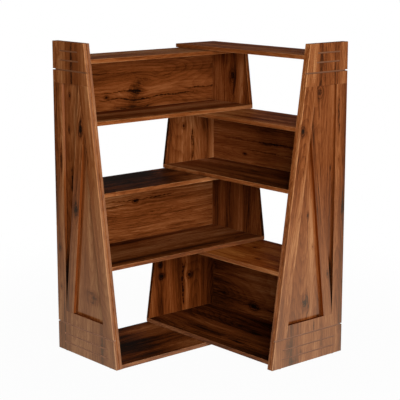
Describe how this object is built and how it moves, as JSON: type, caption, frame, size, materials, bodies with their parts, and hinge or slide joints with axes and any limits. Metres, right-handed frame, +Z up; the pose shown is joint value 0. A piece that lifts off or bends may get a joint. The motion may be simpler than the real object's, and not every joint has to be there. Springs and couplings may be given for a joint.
{
  "type": "foldable corner bookshelf",
  "caption": "Tapered corner bookshelf of two interleaved shelf units that swing about a shared corner, with closed and open bays and layered end panels.",
  "frame": {"origin": "on the floor, under the middle of the outer box of both units at right angles", "axes": "+Z up; the left unit runs along X at the back with its open front to -Y, the right unit runs along Y at the right with its open front to -X, and their shared back corner is at +X +Y"},
  "size_m": [0.805, 0.753, 1.2],
  "materials": {
    "walnut_foil": "satin walnut-grain foil on boards",
    "walnut_overlay": "satin walnut-grain foil on the end overlays",
    "steel": "zinc-plated",
    "nylon": "black nylon"
  },
  "bodies": {
    "left_unit": {"left_bottom_shelf": "walnut_foil", "left_lower_shelf": "walnut_foil", "left_middle_shelf": "walnut_foil", "left_upper_shelf": "walnut_foil", "left_top_shelf": "walnut_foil", "left_low_inner_side": "walnut_foil", "left_low_back_panel": "walnut_foil", "left_high_inner_side": "walnut_foil", "left_high_back_panel": "walnut_foil", "left_end_board": "walnut_foil", "left_end_base_block": "walnut_overlay", "left_end_bottom_rail": "walnut_overlay", "left_end_front_stile": "walnut_overlay", "left_end_back_stile": "walnut_overlay", "left_end_brace": "walnut_overlay", "left_end_top_band": "walnut_overlay", "left_end_top_block": "walnut_overlay", "left_glide_end_back": "nylon", "left_glide_end_front": "nylon", "left_glide_corner_back": "nylon", "left_glide_corner_front": "nylon", "left_glide_middle_back": "nylon", "left_glide_middle_front": "nylon", "pivot_pin_bottom": "steel", "pivot_pin_lower": "steel", "pivot_pin_middle": "steel", "pivot_pin_upper": "steel", "pivot_pin_top": "steel", "pivot_washer_bottom": "nylon", "pivot_washer_lower": "nylon", "pivot_washer_middle": "nylon", "pivot_washer_upper": "nylon", "pivot_washer_top": "nylon"},
    "right_unit": {"right_bottom_shelf": "walnut_foil", "right_lower_shelf": "walnut_foil", "right_middle_shelf": "walnut_foil", "right_upper_shelf": "walnut_foil", "right_top_shelf": "walnut_foil", "right_low_inner_side": "walnut_foil", "right_low_back_panel": "walnut_foil", "right_high_inner_side": "walnut_foil", "right_high_back_panel": "walnut_foil", "right_end_board": "walnut_foil", "right_end_base_block": "walnut_overlay", "right_end_bottom_rail": "walnut_overlay", "right_end_front_stile": "walnut_overlay", "right_end_back_stile": "walnut_overlay", "right_end_brace": "walnut_overlay", "right_end_top_band": "walnut_overlay", "right_end_top_block": "walnut_overlay", "right_glide_end_back": "nylon", "right_glide_end_front": "nylon", "pivot_bush_bottom": "nylon", "pivot_bush_lower": "nylon", "pivot_bush_middle": "nylon", "pivot_bush_upper": "nylon", "pivot_bush_top": "nylon"}
  },
  "joints": [
    {"name": "unit_fold", "type": "hinge", "parent": "left_unit", "child": "right_unit", "pos_m": [0.3525, 0.3265, 0.6], "axis": [0, 0, 1], "range_deg": [-38, 260]}
  ]
}
